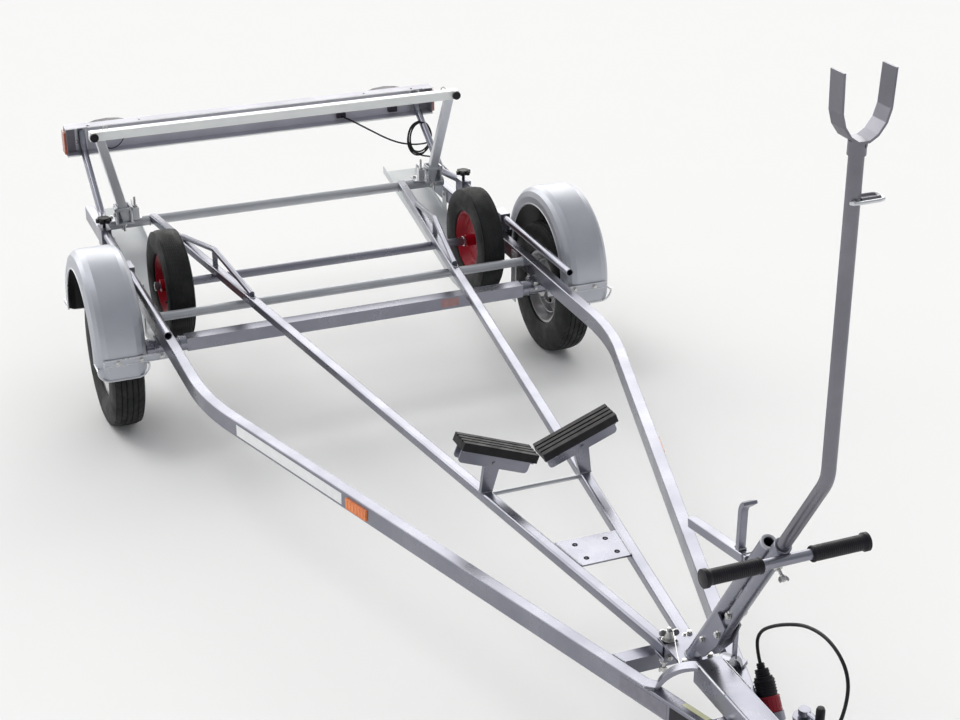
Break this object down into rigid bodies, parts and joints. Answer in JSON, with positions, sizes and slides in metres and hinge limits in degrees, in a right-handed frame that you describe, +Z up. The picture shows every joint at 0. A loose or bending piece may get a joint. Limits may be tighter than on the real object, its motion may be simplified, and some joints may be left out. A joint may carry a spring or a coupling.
{
  "type": "boat trailer",
  "caption": "Galvanised dinghy road trailer carrying its launching trolley: V drawbar, wheels under mudguards, gunwale bar, bow pads, mast post with fork, light board and jockey wheel.",
  "frame": {"origin": "middle of the whole vehicle's box on the ground", "axes": "+Z up, -Y to the coupling at the front, +Y to the light board at the rear, +X to the vehicle's left seen from its front"},
  "size_m": [1.894, 4.435, 2.018],
  "materials": {
    "galvanised": "satin",
    "road_rim_silver": "satin",
    "rim_red": "gloss",
    "tyre_black": "matte",
    "pad_black": "matte",
    "grip_black": "matte",
    "white_coat": "gloss",
    "reflector_orange": "gloss",
    "lamp_dark": "gloss",
    "plug_red": "gloss",
    "cable_black": "matte"
  },
  "bodies": {
    "frame": {"rail_left": "galvanised", "rail_right": "galvanised", "axle_beam": "galvanised", "frame_mid_tube": "galvanised", "frame_front_tube": "galvanised", "wheel_tray_left": "galvanised", "wheel_tray_right": "galvanised", "drawbar_head": "galvanised", "coupling_head": "galvanised", "mudguard_left": "galvanised", "mudguard_right": "galvanised", "carrier_sleeves": "galvanised", "star_knobs": "grip_black", "side_reflectors": "reflector_orange", "jockey_tube": "galvanised", "trolley_rails": "galvanised", "trolley_cross_tubes": "galvanised", "trolley_axle": "galvanised", "trolley_braces": "galvanised", "bolt_plate": "galvanised", "pad_stems": "galvanised", "column_tube": "galvanised", "bow_stop": "galvanised", "handle_grips": "grip_black", "gunwale_stands": "galvanised", "gunwale_bar": "white_coat", "gunwale_caps": "grip_black", "trolley_clamp": "galvanised", "front_cable": "cable_black", "plug_cap": "grip_black", "plug_body": "plug_red", "plug_parking_cup": "galvanised", "cable_gland": "grip_black"},
    "road_wheel_left": {"road_tyre_left": "tyre_black", "road_rim_left": "road_rim_silver"},
    "road_wheel_right": {"road_tyre_right": "tyre_black", "road_rim_right": "road_rim_silver"},
    "trolley_wheel_left": {"trolley_tyre_left": "tyre_black", "trolley_rim_left": "rim_red"},
    "trolley_wheel_right": {"trolley_tyre_right": "tyre_black", "trolley_rim_right": "rim_red"},
    "light_bar": {"light_carriers": "galvanised", "light_board": "galvanised", "board_end_reflectors": "reflector_orange", "rear_lamps": "lamp_dark", "cable_boxes": "grip_black", "rear_cable_coil": "cable_black", "rear_cable": "cable_black", "lamp_wire": "cable_black"},
    "mast": {"mast_post": "galvanised", "mast_fork": "galvanised"},
    "pad_left": {"pad_channel_left": "galvanised", "pad_rubber_left": "pad_black"},
    "pad_right": {"pad_channel_right": "galvanised", "pad_rubber_right": "pad_black"},
    "jockey_leg": {"jockey_leg": "galvanised"},
    "jockey_fork": {"jockey_fork": "galvanised"},
    "jockey_wheel": {"jockey_wheel": "pad_black"},
    "jockey_crank": {"jockey_crank": "galvanised"},
    "coupling_lever": {"coupling_lever": "galvanised"}
  },
  "joints": [
    {"name": "road_wheel_left_spin", "type": "hinge", "parent": "frame", "child": "road_wheel_left", "pos_m": [-0.838, 1.0475, 0.251], "axis": [1, 0, 0], "continuous": true},
    {"name": "trolley_wheel_left_spin", "type": "hinge", "parent": "frame", "child": "trolley_wheel_left", "pos_m": [-0.588, 1.2035, 0.418], "axis": [1, 0, 0], "continuous": true},
    {"name": "pad_left_tilt", "type": "hinge", "parent": "frame", "child": "pad_left", "pos_m": [-0.134, -0.6945, 0.558], "axis": [0, 1, 0], "range_deg": [-12, 12]},
    {"name": "road_wheel_right_spin", "type": "hinge", "parent": "frame", "child": "road_wheel_right", "pos_m": [0.838, 1.0475, 0.251], "axis": [1, 0, 0], "continuous": true},
    {"name": "trolley_wheel_right_spin", "type": "hinge", "parent": "frame", "child": "trolley_wheel_right", "pos_m": [0.588, 1.2035, 0.418], "axis": [1, 0, 0], "continuous": true},
    {"name": "pad_right_tilt", "type": "hinge", "parent": "frame", "child": "pad_right", "pos_m": [0.134, -0.6945, 0.558], "axis": [0, 1, 0], "range_deg": [-12, 12]},
    {"name": "light_bar_slide", "type": "slide", "parent": "frame", "child": "light_bar", "axis": [0, 1, 0], "range_m": [0, 0.4]},
    {"name": "mast_slide", "type": "slide", "parent": "frame", "child": "mast", "axis": [0, -0.5204, 0.8539], "range_m": [0, 0.12]},
    {"name": "jockey_leg_slide", "type": "slide", "parent": "frame", "child": "jockey_leg", "axis": [0, 0, 1], "range_m": [-0.03, 0.09]},
    {"name": "jockey_fork_swivel", "type": "hinge", "parent": "jockey_leg", "child": "jockey_fork", "pos_m": [0.092, -1.9545, 0.232], "axis": [0, 0, 1], "continuous": true},
    {"name": "jockey_wheel_spin", "type": "hinge", "parent": "jockey_fork", "child": "jockey_wheel", "pos_m": [0.092, -1.9195, 0.1], "axis": [1, 0, 0], "continuous": true},
    {"name": "jockey_crank_turn", "type": "hinge", "parent": "frame", "child": "jockey_crank", "pos_m": [0.092, -1.9545, 0.5], "axis": [0, 0, 1], "continuous": true},
    {"name": "coupling_lever_lift", "type": "hinge", "parent": "frame", "child": "coupling_lever", "pos_m": [0, -2.1355, 0.522], "axis": [1, 0, 0], "range_deg": [0, 60]}
  ]
}
